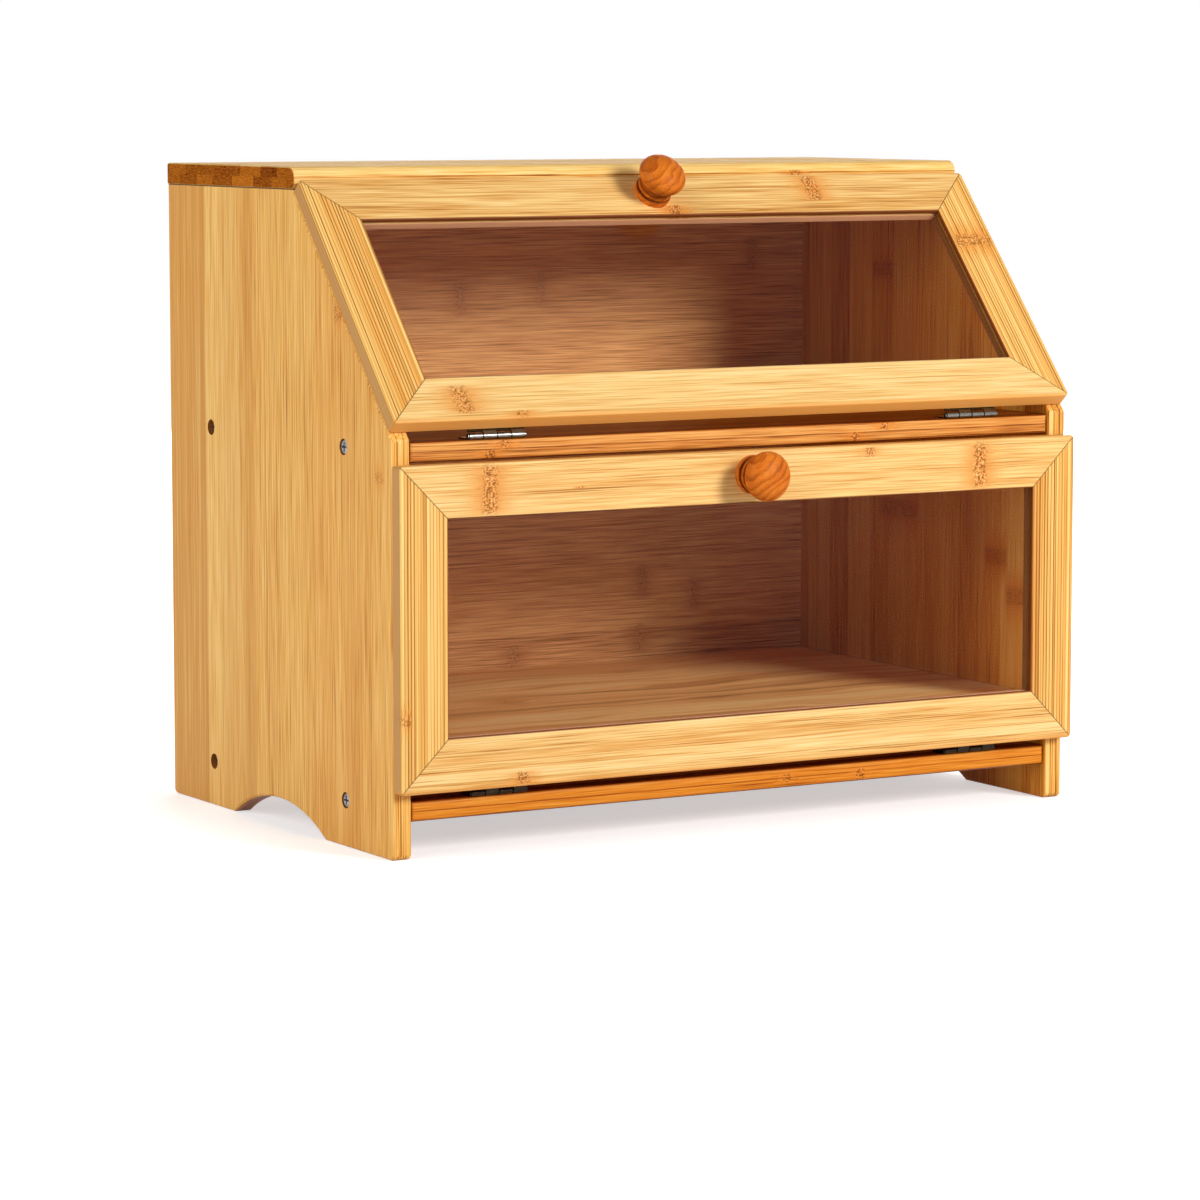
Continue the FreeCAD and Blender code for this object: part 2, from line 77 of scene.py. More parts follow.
class Graph:
    """The node tree of a material or a world, with short calls for the nodes used here."""

    def __init__(self, owner):
        self.owner = owner
        owner.use_nodes = True
        self.tree = owner.node_tree
        self.tree.nodes.clear()
        self.coordinates = None

    def node(self, kind, **settings):
        made = self.tree.nodes.new("ShaderNode" + kind)
        for key, value in settings.items():
            setattr(made, key, value)
        return made

    def feed(self, socket, value):
        if isinstance(value, bpy.types.NodeSocket):
            self.tree.links.new(value, socket)
        else:
            socket.default_value = value

    def math(self, operation, *values):
        made = self.node("Math", operation=operation)
        for socket, value in zip(made.inputs, values):
            self.feed(socket, value)
        return made.outputs[0]

    def add(self, *values):
        total = values[0]
        for value in values[1:]:
            total = self.math("ADD", total, value)
        return total

    def times(self, *values):
        total = values[0]
        for value in values[1:]:
            total = self.math("MULTIPLY", total, value)
        return total

    def size_of_sum(self, *values):
        return self.math("ABSOLUTE", self.add(*values))

    def centred(self, value, amount):
        """amount times the distance of a 0..1 value from its middle."""
        return self.math("MULTIPLY_ADD", value, amount, -amount / 2)

    def dot(self, coordinate, direction):
        """One of the texture coordinates, measured along direction."""
        if not self.coordinates:
            self.coordinates = self.node("TexCoord").outputs
        made = self.node("VectorMath", operation="DOT_PRODUCT")
        self.feed(made.inputs[0], self.coordinates[coordinate])
        made.inputs[1].default_value = direction
        return made.outputs["Value"]

    def along(self, direction, scale=MM):
        """A point's place along direction, in millimetres unless another scale is given."""
        return self.times(self.dot("Object", direction), scale)

    def facing(self, direction):
        """How far the surface faces along direction, or against it: 0 to 1."""
        return self.math("ABSOLUTE", self.dot("Normal", direction))

    def vector(self, *values):
        made = self.node("CombineXYZ")
        for socket, value in zip(made.inputs, values):
            self.feed(socket, value)
        return made.outputs[0]

    def noise(self, vector, detail=2.0, roughness=0.5, distortion=0.0):
        made = self.node("TexNoise")
        self.feed(made.inputs["Vector"], vector)
        made.inputs["Scale"].default_value = 1.0
        made.inputs["Detail"].default_value = detail
        made.inputs["Roughness"].default_value = roughness
        made.inputs["Distortion"].default_value = distortion
        return made.outputs["Fac"]

    def step(self, value, start, end, low=0.0, high=1.0):
        """Runs smoothly from low to high as value goes from start to end."""
        made = self.node("MapRange", interpolation_type="SMOOTHSTEP")
        for name, given in (("Value", value), ("From Min", start), ("From Max", end),
                            ("To Min", low), ("To Max", high)):
            self.feed(made.inputs[name], given)
        return made.outputs["Result"]

    def random(self, value):
        """Three random numbers from 0 to 1 for each value."""
        made = self.node("TexWhiteNoise", noise_dimensions="1D")
        self.feed(made.inputs["W"], value)
        parts = self.node("SeparateColor")
        self.feed(parts.inputs[0], made.outputs["Color"])
        return parts.outputs

    def ramp(self, value, *stops):
        """The colour at value on a ramp of (place, colour) stops."""
        made = self.node("ValToRGB")
        elements = made.color_ramp.elements
        while len(elements) < len(stops):
            elements.new(0.5)
        for element, (place, shade) in zip(elements, stops):
            element.position = place
            element.color = shade
        self.feed(made.inputs[0], value)
        return made.outputs["Color"]

    def mix(self, low, high, factor, blend="MIX"):
        made = self.node("Mix", data_type="RGBA", blend_type=blend)
        self.feed(made.inputs[0], factor)
        self.feed(made.inputs[6], low)
        self.feed(made.inputs[7], high)
        return made.outputs[2]

    def bump(self, height, distance, strength):
        made = self.node("Bump")
        made.inputs["Strength"].default_value = strength
        made.inputs["Distance"].default_value = distance
        self.feed(made.inputs["Height"], height)
        return made.outputs["Normal"]

    def principled(self, **values):
        shader = self.node("BsdfPrincipled")
        for name, value in values.items():
            self.feed(shader.inputs[name.replace("_", " ")], value)
        return shader.outputs[0]

    def finish(self, shader):
        """Feeds the tree's output and returns the material or the world."""
        kind = "Material" if isinstance(self.owner, bpy.types.Material) else "World"
        self.feed(self.node("Output" + kind).inputs["Surface"], shader)
        return self.owner


def material_graph(name):
    return Graph(bpy.data.materials.new(name))


# Each set of shades: a line's darkest, the fibres' dark, middle and light, and a redder strip.
HONEY = shade_set((136, 74, 22), (218, 152, 68), (247, 203, 120), (255, 232, 168), (234, 156, 66))
CREAM = shade_set((132, 72, 24), (214, 152, 76), (242, 202, 130), (249, 230, 176), (232, 156, 72))
TAN = shade_set((126, 64, 16), (208, 138, 56), (240, 181, 90), (254, 216, 140), (226, 142, 56))
AMBER = shade_set((84, 38, 6), (190, 114, 42), (226, 160, 80), (246, 200, 122), (206, 118, 40))
EMBER = shade_set((84, 34, 0), (182, 96, 10), (220, 134, 32), (240, 174, 74), (200, 98, 10))
BACK = shade_set((116, 64, 30), (208, 144, 86), (246, 192, 124), (254, 214, 150), (230, 154, 84))
FLOOR = shade_set((140, 80, 34), (226, 158, 88), (254, 200, 124), (255, 220, 152), (242, 164, 84))
# Painted shade, as tints that multiply a colour: on the compartments' inner faces, less of it
# on the side panels' inner faces near the front, and painted shadow above and below the boards'
# front edges.
INSIDE_PAINTED_SHADE = (0.69, 0.44, 0.19, 1.0)
INSIDE_FRONT_PAINTED_SHADE = (0.97, 0.74, 0.36, 1.0)
BOARD_FRONT_PAINTED_SHADOW = (0.26, 0.13, 0.06, 1.0)
END_DARK = colour(104, 38, 0)
END_LIGHT = colour(216, 128, 34)
JOINT_LINE_AND_SHADOW = colour(96, 62, 22)
BOARD_END_PAINTED_SHADOW = colour(78, 32, 8)
BORE_GRAIN_AND_PAINTED_SHADE = colour(150, 88, 36)
KNOT_ORANGE = colour(222, 130, 38)
KNOT_BROWN = colour(176, 104, 56)
EDGE_PAINTED_SHADE = colour(180, 122, 58)
LIP_PAINTED_SHADE = colour(112, 44, 8)
BEHIND_PANE_REFLECTION_AND_SHADE = colour(226, 162, 130)
STILE_LIP_PAINTED_SHADE = colour(120, 46, 8)

# Widths across the grain, in millimetres, of the three sizes of fibre and of the dark lines.
FINE_WIDTH, MEDIUM_WIDTH, BROAD_WIDTH, LINE_WIDTH = 0.6, 1.6, 8.0, 0.7
# Uneven steps that give each strip, layer and glue line random numbers of its own.
STRIP_KEY, LAYER_KEY, LINE_KEY = 1.371, 13.7, 2.113
LAYER_SHIFT = 0.37          # of one layer's strips against the next one's, in strips
LAYER_SPREAD = 1.1          # keeps a board's faces well inside its outer layers
SHADE_PLACES = (0.0, 0.24, 0.5, 0.85)   # of deep, dark, middle and light on the ramp
LINE_NOISE = (0.58, 0.68)   # the noise at which a dark line starts and is full
KNOT_WOBBLE = 2.4           # of a knot's line, and the bend of the fibres beside it
KNOT_BEND = 4.0
BORE_EDGE = (5.0, 4.6)      # from a screw's axis, where the bore's brown, partly painted shade, starts and is full
PANEL_FRONT = (FRONT_Y + 15, FRONT_Y + 80)  # where the side panels' lighter front painted shade fades out
BOARD_FRONT = (FRONT_Y + 12, FRONT_Y + 9)   # where the painted shadow on the boards' front edges starts and is full
# The lines between glued pieces, and the painted shadow where a board meets a side panel: each
# is full up to the first distance and gone at the second.
GLUE_LINE_EDGE = (0.08, 0.42)
LAYER_LINE_EDGE = (0.12, 0.4)
MITRE_LINE_EDGE = (0.2, 0.5)
BOARD_END_SHADOW_EDGE = (0.3, 0.9)


def knot_masks(g, u, knot_place, knots, seed):
    """The knots' cores, and the wider halos in which the fibres bend: 0 to 1."""
    core = halo = 0.0
    wobble = g.centred(g.noise(g.vector(g.times(knot_place, 0.5), seed, 3.0), 1.0), KNOT_WOBBLE)
    for knot_u, knot_v, half_v, half_u, strength in knots:
        distance = g.size_of_sum(u, wobble, -knot_u)
        aside = g.size_of_sum(knot_place, -knot_v)
        within = g.step(aside, half_v * 0.75, half_v * 1.2, strength, 0.0)
        in_core = g.step(distance, half_u * 0.6, half_u * 1.6, 1.0, 0.0)
        in_halo = g.step(distance, 0.0, half_u * 5.0, 1.0, 0.0)
        core = g.math("MAXIMUM", core, g.times(in_core, within))
        halo = g.math("MAXIMUM", halo, g.times(in_halo, within))
    return core, halo


def side_panel_marks(g, shade, u, v, through, top):
    """The screws' bores, brown as end grain and painted shade, and a painted shadow line
    under the top board.
    """
    cut_face = g.step(g.facing(through), 0.6, 0.4)
    aside = g.size_of_sum(g.size_of_sum(v, -SIDE_MIDDLE_Y), -SCREWS_FROM_MIDDLE)
    above = g.math("MINIMUM", *[g.size_of_sum(u, -height) for height in SCREW_HEIGHTS])
    in_bore = g.step(g.math("MAXIMUM", aside, above), *BORE_EDGE)
    # The bores' walls: partly the end grain's colour, partly painted shade.
    shade = g.mix(shade, BORE_GRAIN_AND_PAINTED_SHADE, g.times(cut_face, in_bore))
    # A painted shadow line in the joint under the top board.
    return g.mix(shade, JOINT_LINE_AND_SHADOW, g.step(u, top - 0.7, top - 0.3))


def door_frame_marks(g, shade, w, on_edge, mitre, lips, edge_shade, red):
    """The mitre lines, painted shade on the outer edges, painted shade and reflection on the lips
    about the pane, and a redder foot.
    """
    up, start, length = mitre
    up_door = g.add(g.along(up), -start)
    from_end = g.math("MINIMUM", up_door, g.math("SUBTRACT", length, up_door))
    from_side = g.math("SUBTRACT", HALF_WIDTH, g.math("ABSOLUTE", g.along(X)))
    off_joint = g.math("ABSOLUTE", g.math("SUBTRACT", from_end, from_side))
    shade = g.mix(shade, JOINT_LINE_AND_SHADOW, g.step(off_joint, *MITRE_LINE_EDGE, 0.75, 0.0))
    # Painted shade on the frame's outer edges.
    shade = g.mix(shade, edge_shade, g.step(on_edge, 0.6, 0.9, 0.0, 0.75))
    in_opening = g.step(g.math("MINIMUM", from_end, from_side), FRAME_W - 0.8, FRAME_W - 0.4)
    # Painted shade on the lip before the pane; behind it, painted shade on the stiles and painted
    # reflection with shade on the rails.
    before_pane, behind_pane = lips
    shade = g.mix(shade, behind_pane, g.times(in_opening, g.step(w, 1.0, 0.6, 0.0, 0.7)))
    shade = g.mix(shade, before_pane, g.times(in_opening, g.step(w, 0.8, 1.2, 0.0, 0.92)))
    return g.mix(shade, red, g.step(up_door, 0.8, 2.4, 0.6, 0.0))


def bamboo(name, along, across, through, seed, shades, strip, strip_start=0.0, tone=0.3,
           shift=0.0, edge=0.15, fine=1.0, medium=0.5, broad=0.4, lines=0.3, accent=0.3,
           length=26.0, wavy=0.0, ply=None, centre=0.0, knots=(), knot_axis=None,
           knot_shade=KNOT_ORANGE, bands=(), inside=None, both_faces=False, board_end=None,
           top=None, mitre=None, lips=None, edge_shade=None, specular=0.12):
    """Pressed bamboo: strips of a board's width that run along the grain, with fine fibres, the
    cross bands of the cane's joints, and end grain where the strips are cut across. Lengths are
    in millimetres.

    strip is a strip's width across, tone how much the strips differ, and shift makes them all
    lighter. fine, medium and broad are the strengths of the fibres' three sizes, lines that of
    the dark lines, edge that of the glue lines and accent that of the redder strips. length is
    that of the fine fibres, and wavy how far they swirl. ply is the thickness and the number of
    the layers through the board, measured from centre. knots are (along, across, half width
    across, half width along, strength), and knot_axis turns their second place through the
    board. bands are darker streaks along the grain: (across, half width, strength).

    inside is the way that a compartment's inner face looks, where shade is painted, and
    both_faces is for a board with one above and one below. board_end is where a board meets the
    side panels, where a painted shadow line lies, and it also paints shadow on the board's faces
    along its front edge; top is where a side panel meets the top board, under which a painted
    shadow line lies. mitre gives a door's (up direction, lower edge, length), lips its frame's
    colours before and behind the pane, painted shade and painted reflection, and edge_shade the
    painted shade of its outer edges.
    specular is the gloss of the bare wood."""
    g = material_graph(name)
    u = g.along(along)
    v = g.along(across)
    w = g.add(g.along(through), -centre)
    if wavy:
        swirl = g.noise(g.vector(g.times(u, 0.012), g.times(v, 0.03), seed), 1.0)
        v = g.add(v, g.centred(swirl, wavy))
    if knots:
        core, halo = knot_masks(g, u, g.along(knot_axis) if knot_axis else v, knots, seed)
        bend = g.noise(g.vector(g.times(u, 0.16), g.times(v, 0.5), g.times(w, 0.5)), 2.0)
        v = g.add(v, g.times(halo, g.centred(bend, KNOT_BEND)))

    # The strips, which drift a little, and which each layer has in other places.
    drift = g.centred(g.noise(g.vector(g.times(v, 0.35 / strip), seed, 7.0), 0.0), 0.9)
    place_in_strips = g.add(g.math("DIVIDE", g.add(v, -strip_start), strip), drift)
    if ply:
        thickness, count = ply
        layers = g.math("MULTIPLY_ADD", w, 1 / (thickness * LAYER_SPREAD),
                        0.5 if count % 2 else 0.0)
        layer = g.math("FLOOR", layers)
        layer_edge = g.times(g.math("PINGPONG", layers, 0.5), thickness)
        place_in_strips = g.add(place_in_strips, g.times(layer, LAYER_SHIFT))
    key = g.math("MULTIPLY_ADD", g.math("FLOOR", place_in_strips), STRIP_KEY, seed)
    if ply:
        key = g.math("MULTIPLY_ADD", layer, LAYER_KEY, key)
    strip_tone, strip_offset, strip_red = g.random(key)

    def fibres(long, wide, detail=2.0, roughness=0.5):
        u_place = g.math("MULTIPLY_ADD", strip_offset, 90.0, g.times(u, 1 / long))
        w_place = g.math("MULTIPLY_ADD", w, 1 / wide, key)
        return g.noise(g.vector(u_place, g.times(v, 1 / wide), w_place), detail, roughness)

    fine_fibres = fibres(length, FINE_WIDTH, 1.5, 0.6)
    medium_fibres = fibres(length * 3, MEDIUM_WIDTH)
    broad_fibres = fibres(length * 6, BROAD_WIDTH, 1.0)
    dark_lines = g.step(fibres(length * 4, LINE_WIDTH, 1.0), *LINE_NOISE)

    # The glue lines, each of its own strength, show on the faces and not on the edges.
    on_edge = g.facing(across)
    line_number = g.math("FLOOR", g.add(place_in_strips, 0.5))
    line_strength = g.random(g.math("MULTIPLY_ADD", line_number, LINE_KEY, seed))[0]
    strip_edge = g.times(g.math("PINGPONG", place_in_strips, 0.5), strip)
    glue_lines = g.times(g.step(strip_edge, *GLUE_LINE_EDGE, 1.0, 0.0),
                         g.step(on_edge, 0.5, 0.8, 1.0, 0.0),
                         g.step(line_strength, 0.0, 0.9, 0.25, 1.0))

    value = g.add(0.5 + shift, g.centred(strip_tone, tone), g.centred(fine_fibres, fine),
                  g.centred(medium_fibres, medium), g.centred(broad_fibres, broad),
                  g.times(dark_lines, -lines), g.times(glue_lines, -edge))
    if ply:
        value = g.add(value, g.times(g.step(layer_edge, *LAYER_LINE_EDGE, 1.0, 0.0), -0.3))
    deep, dark, middle, light, red = shades
    shade = g.ramp(value, *zip(SHADE_PLACES, (deep, dark, middle, light)))
    reddening = g.times(g.math("POWER", strip_red, 2.0), accent, g.step(medium_fibres, 0.3, 0.65))
    shade = g.mix(shade, red, reddening)
    for band_v, half_v, strength in bands:
        aside = g.size_of_sum(v, -band_v)
        in_band = g.step(aside, half_v, half_v * 1.1 + 0.8, strength, 0.0)
        shade = g.mix(shade, dark, g.times(in_band, g.step(medium_fibres, 0.3, 0.6, 0.5, 1.0)))
    if knots:
        specks = g.noise(g.vector(g.times(u, 0.9), g.times(v, 1.2), g.times(w, 1.2)), 1.0, 0.5)
        streaks = g.step(fine_fibres, 0.35, 0.65, 0.5, 1.0)
        shade = g.mix(shade, knot_shade, g.times(halo, streaks, 0.9))
        shade = g.mix(shade, light, g.times(core, g.step(specks, 0.58, 0.68), 0.35))
        shade = g.mix(shade, deep, g.times(core, g.step(specks, 0.50, 0.42), 0.85))

    # End grain.
    pores = g.noise(g.vector(u, g.times(v, 0.3), g.times(w, 1.9)), 3.0, 0.7, 1.0)
    end_value = g.add(g.centred(strip_tone, 0.5), g.centred(pores, 2.1), 0.42)
    end_shade = g.ramp(end_value, (0.0, END_DARK), (1.0, END_LIGHT))
    if ply:
        end_shade = g.mix(end_shade, END_DARK, g.times(glue_lines, 0.7))
    shade = g.mix(shade, end_shade, g.step(g.facing(along), 0.72, 0.94))

    # Painted shade on the compartments' inner faces, less of it near the front of the side panels.
    if inside:
        inner = g.step(g.facing(inside) if both_faces else g.dot("Normal", inside), 0.5, 0.9)
        tint = INSIDE_PAINTED_SHADE
        if top:
            inner = g.times(inner, g.step(v, BACK_PANEL_FRONT_Y + 1.0, BACK_PANEL_FRONT_Y))
            tint = g.mix(INSIDE_FRONT_PAINTED_SHADE, INSIDE_PAINTED_SHADE, g.step(v, *PANEL_FRONT))
        shade = g.mix(shade, tint, inner, "MULTIPLY")
    if board_end:
        # Painted shadow on the boards' upper and lower faces along the front edge, in the gaps at
        # the doors.
        at_front = g.step(v, *BOARD_FRONT, 0.0, 0.92)
        shade = g.mix(shade, BOARD_FRONT_PAINTED_SHADOW, g.times(inner, at_front), "MULTIPLY")
        # A painted shadow line in the crease where the board meets a side panel.
        from_end = g.math("SUBTRACT", board_end, g.math("ABSOLUTE", u))
        shade = g.mix(shade, BOARD_END_PAINTED_SHADOW, g.step(from_end, *BOARD_END_SHADOW_EDGE, 0.9, 0.0))
    if top:
        shade = side_panel_marks(g, shade, u, v, through, top)
    if mitre:
        shade = door_frame_marks(g, shade, w, on_edge, mitre, lips, edge_shade or dark, red)

    gloss = g.add(0.42, g.centred(medium_fibres, 0.14), g.centred(fine_fibres, 0.10))
    relief = g.add(g.times(fine_fibres, 0.6), g.times(dark_lines, -0.5),
                   g.times(glue_lines, -0.8))
    return g.finish(g.principled(
        Base_Color=shade, Roughness=gloss, Normal=g.bump(relief, distance=0.00006, strength=0.6),
        Specular_IOR_Level=specular, Coat_Weight=0.04, Coat_Roughness=0.25))


def knob_wood(name, centre, off, face, seed):
    """Turned wood: slanting growth rings with fine pores, and painted shade in the two grooves."""
    g = material_graph(name)
    across_rings = Vector((0.62, 0.3, -0.72)).normalized()
    grain = across_rings.cross(Y).normalized()
    side = across_rings.cross(grain)
    u, v, w = (g.add(g.along(axis), -centre.dot(axis)) for axis in (grain, across_rings, side))
    bend = g.noise(g.vector(g.times(u, 0.09), g.times(v, 0.11), g.add(g.times(w, 0.09), seed)),
                   2.0)
    rings = g.times(g.add(v, g.centred(bend, 7.0), g.times(w, w, 0.012)), 0.27)
    late = g.step(g.math("FRACT", rings), 0.35, 0.95)
    fibre = g.noise(g.vector(g.times(u, 0.12), g.times(v, 2.2), g.times(w, 2.2)), 3.0, 0.6)
    patches = g.noise(g.vector(g.times(u, 0.08), g.times(v, 0.2), g.add(g.times(w, 0.2), seed)),
                      2.0)
    pores = g.noise(g.vector(g.times(u, 0.5), g.times(v, 4.0), g.times(w, 4.0)), 1.0)
    value = g.add(0.55, g.times(late, -0.26), g.centred(fibre, 0.75), g.centred(patches, 0.5),
                  g.times(g.step(pores, 0.62, 0.75), -0.3))
    shade = g.ramp(value, (0.0, colour(132, 50, 6)), (0.5, colour(208, 108, 26)),
                   (1.0, colour(236, 152, 60)))
    height = g.add(g.along(off), -face)
    # Painted shade in the groove above the base and at the neck.
    in_groove = g.step(g.size_of_sum(height, -KNOB_GROOVE), 0.5, 0.9, 0.7, 0.0)
    in_neck = g.step(g.size_of_sum(height, -KNOB_NECK), 1.2, 2.6, 0.55, 0.0)
    shade = g.mix(shade, colour(104, 38, 4), g.math("MAXIMUM", in_groove, in_neck))
    return g.finish(g.principled(
        Base_Color=shade, Roughness=g.add(0.54, g.centred(fibre, 0.2)),
        Normal=g.bump(fibre, distance=0.00005, strength=0.5),
        Specular_IOR_Level=0.08, Coat_Weight=0.02, Coat_Roughness=0.3))


def plated_steel(name, base, roughness, seed):
    """Bright plated steel with faint brushing along X and handling marks."""
    g = material_graph(name)
    brushed = g.noise(g.vector(g.along(X, 900), g.along(Y, 9000), g.along(Z, 9000)), 2.0)
    cloud = g.noise(g.vector(g.along(X, 400), g.along(Y, 400), g.add(g.along(Z, 400), seed)), 3.0)
    return g.finish(g.principled(
        Base_Color=g.mix(base, colour(60, 56, 52), g.step(cloud, 0.45, 0.8, 0.0, 0.6)),
        Metallic=1.0,
        Roughness=g.add(roughness, g.centred(brushed, 0.12), g.centred(cloud, 0.14)),
        Normal=g.bump(brushed, distance=0.00001, strength=0.4)))


def window_glass(name, seed):
    """A clear pane with a faint haze; lamps shine straight through it."""
    g = material_graph(name)
    smear = g.noise(g.vector(g.along(X, 12), g.along(Y, 12), g.add(g.along(Z, 20), seed)), 3.0)
    tint = g.mix(colour(254, 254, 253), colour(246, 246, 244), g.step(smear, 0.35, 0.75))
    glass = g.principled(Base_Color=tint, Roughness=0.0, IOR=1.11, Transmission_Weight=1.0)
    clear = g.node("BsdfTransparent")
    clear.inputs[0].default_value = colour(252, 252, 251)
    rays = g.node("LightPath").outputs
    blend = g.node("MixShader")
    g.feed(blend.inputs[0], g.math("MAXIMUM", rays["Is Shadow Ray"], rays["Is Diffuse Ray"]))
    g.feed(blend.inputs[1], glass)
    g.feed(blend.inputs[2], clear.outputs[0])
    return g.finish(blend.outputs[0])


def dress(node, material):
    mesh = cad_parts[node].data
    mesh.materials.clear()
    mesh.materials.append(material)


# --- The case ---
SIDE = dict(along=Z, across=Y, through=X, shades=TAN, tone=0.2, shift=0.02, edge=0.1, fine=1.25,
            medium=0.15, broad=0.3, lines=0.22, accent=0.35, length=40.0, ply=(10 / 3, 3),
            top=SIDE_TOP_Z, specular=0.07)
dress("left_side_panel", bamboo(
    "left_panel_bamboo", seed=3.0, strip=46.0, strip_start=198 + FRONT_Y, centre=-SIDE_MIDDLE_X,
    inside=X, knots=[(252, 53 + FRONT_Y, 4, 3.0, 0.75), (178, 12 + FRONT_Y, 4, 2.0, 0.5)],
    bands=[(219 + FRONT_Y, 20, 0.7), (201 + FRONT_Y, 2.4, 0.5), (163 + FRONT_Y, 17, 0.25),
           (149 + FRONT_Y, 5, 0.4), (38 + FRONT_Y, 8, 0.2)], **SIDE))
dress("right_side_panel", bamboo(
    "right_panel_bamboo", seed=8.0, strip=20.0, strip_start=113 + FRONT_Y, centre=SIDE_MIDDLE_X,
    inside=-X, knots=[(136.5, 132 + FRONT_Y, 18, 4.0, 1.0), (119, 45 + FRONT_Y, 10, 4.0, 1.0),
                      (100, 26 + FRONT_Y, 10, 4.0, 1.0), (262, 150 + FRONT_Y, 10, 3.6, 0.9)],
    **dict(SIDE, tone=0.4)))
dress("top_board", bamboo(
    "top_board_bamboo", X, Y, Z, 5.0, HONEY, 20.0, strip_start=98 + FRONT_Y, tone=0.3, edge=0.12,
    fine=0.8, medium=0.25, broad=0.25, lines=0.2, accent=0.25, ply=(5.2, 2), centre=TOP_BOARD_Z,
    knots=[(-134, 310.5, 1.5, 1.8, 0.8), (92, 313.0, 3.0, 3.0, 0.9)], knot_axis=Z, specular=0.0))
BOARD = dict(along=X, across=Y, through=Z, strip=22.0, edge=0.1, fine=0.9, medium=0.3, broad=0.35,
             lines=0.25, ply=(4.8, 2), knot_axis=Z, inside=Z, both_faces=True,
             board_end=BOARD_END_X)
dress("middle_shelf", bamboo(
    "middle_shelf_bamboo", seed=2.0, shades=AMBER, centre=SHELF_Z, tone=0.35, accent=0.5,
    knots=[(-138.3, 187.3, 2.2, 2.4, 0.9), (-130.3, 192.1, 2.2, 2.4, 0.9),
           (65.5, 188.0, 2.2, 2.2, 0.9), (83.1, 192.6, 2.0, 2.2, 0.9)], **BOARD))
dress("bottom_board", bamboo(
    "bottom_board_bamboo", seed=6.0, shades=EMBER, centre=BOTTOM_BOARD_Z, tone=0.25, accent=0.6,
    knots=[(69.7, 21.0, 2.6, 2.2, 0.9), (26.9, 22.3, 2.2, 2.2, 0.7)], **BOARD))
dress("raised_floor", bamboo(
    "raised_floor_bamboo", X, Y, Z, 9.0, FLOOR, 40.0, tone=0.3, edge=0.05, fine=0.35, medium=0.4,
    broad=1.2, lines=0.06, accent=0.6, ply=(4.8, 2), centre=RAISED_FLOOR_Z, wavy=34.0,
    knots=[(-66, 7, 8, 6.0, 0.5), (45, 86, 8, 6.0, 0.5)]))
dress("floor_bearers", bamboo(
    "bearer_bamboo", Y, X, Z, 4.0, BACK, 11.0, ply=(8.0, 2), centre=BEARERS_Z))
dress("back_panel", bamboo(
    "back_panel_bamboo", X, Z, Y, 7.0, BACK, 20.0, tone=0.1, shift=0.03, edge=0.04, fine=0.85,
    medium=0.1, broad=0.14, lines=0.1, accent=0.3, length=30.0, ply=(3.4, 2), centre=BACK_PANEL_Y,
    knot_shade=KNOT_BROWN,
    knots=[(79.9, 94.7, 9, 2.6, 0.6), (78, 64, 8, 2.6, 0.6), (0.5, 56.6, 8, 3.0, 0.6),
           (112.6, 85.8, 9, 2.6, 0.5), (-30.6, 247.8, 9, 3.0, 0.5), (17.3, 251.9, 9, 3.0, 0.4),
           (-96, 215, 9, 2.6, 0.5), (-150, 120, 9, 2.6, 0.5), (148, 268, 9, 2.6, 0.5)]))
dress("top_board_dowels", bamboo("dowel_bamboo", Z, X, Y, 1.0, TAN, 3.0))

# --- The doors ---
# Each door's name, the ways up it and off its face, its lower edge and length measured up it, and
# the middle of its thickness measured off it.
DOORS = (
    ("lower", Z, -Y, LOWER_DOOR_Z, LOWER_DOOR_LENGTH, -FRONT_Y + DOOR_MIDDLE),
    ("upper", UP_SLOPE, OFF_SLOPE, UP_SLOPE.dot(SLOPE_FOOT) + UPPER_DOOR_RISE, UPPER_DOOR_LENGTH,
     OFF_SLOPE.dot(SLOPE_FOOT) + DOOR_MIDDLE),
)
# The doors' knots and strips are placed from the door's lower edge.
RAIL = dict(shades=CREAM, tone=0.24, edge=0.1, fine=0.85, medium=0.18, broad=0.3, accent=0.3,
            length=36.0, lips=(LIP_PAINTED_SHADE, BEHIND_PANE_REFLECTION_AND_SHADE))
RAIL_LOOKS = {
    "lower_top": dict(strip=40.0, strip_start=-10.0, seed=11.0, lines=0.15,
                      knots=[(-143.6, 140.3, 11.5, 3.4, 1.0), (133.4, 140.3, 11.0, 3.2, 1.0),
                             (68, 149.4, 2.4, 2.6, 0.8), (-95.3, 139.5, 0.5, 1.2, 0.9)]),
    "lower_bottom": dict(strip=4.2, seed=12.0, tone=0.28, shift=-0.06, lines=0.25, accent=0.4,
                         knots=[(-126.3, 3.9, 3.0, 2.8, 0.9)]),
    "upper_top": dict(strip=40.0, strip_start=-4.0, seed=13.0, shift=-0.06, lines=0.2,
                      knots=[(95.2, 137, 8.0, 3.4, 1.0), (9, 124, 3.2, 3.0, 1.0)]),
    "upper_bottom": dict(strip=40.0, strip_start=-6.0, seed=14.0, lines=0.15,
                         knots=[(-151.4, 12, 8, 3.8, 0.9), (-122.7, 1.8, 2.4, 2.6, 0.9)]),
}
STILE = dict(shades=HONEY, strip=1.7, tone=0.25, edge=0.4, fine=0.8, medium=0.25, broad=0.08,
             lines=0.25, accent=0.8, length=120.0, lips=(STILE_LIP_PAINTED_SHADE, LIP_PAINTED_SHADE),
             edge_shade=EDGE_PAINTED_SHADE)
STILE_LOOKS = {
    "lower_left": dict(seed=21.0, shift=-0.04, knots=[(35, -188, 3.0, 2.4, 0.6)]),
    "lower_right": dict(seed=22.0, shift=-0.1),
    "upper_left": dict(seed=23.0, shift=-0.04),
    "upper_right": dict(seed=24.0, shift=-0.04, knots=[(100.8, 178, 11.0, 3.2, 0.9)]),
}
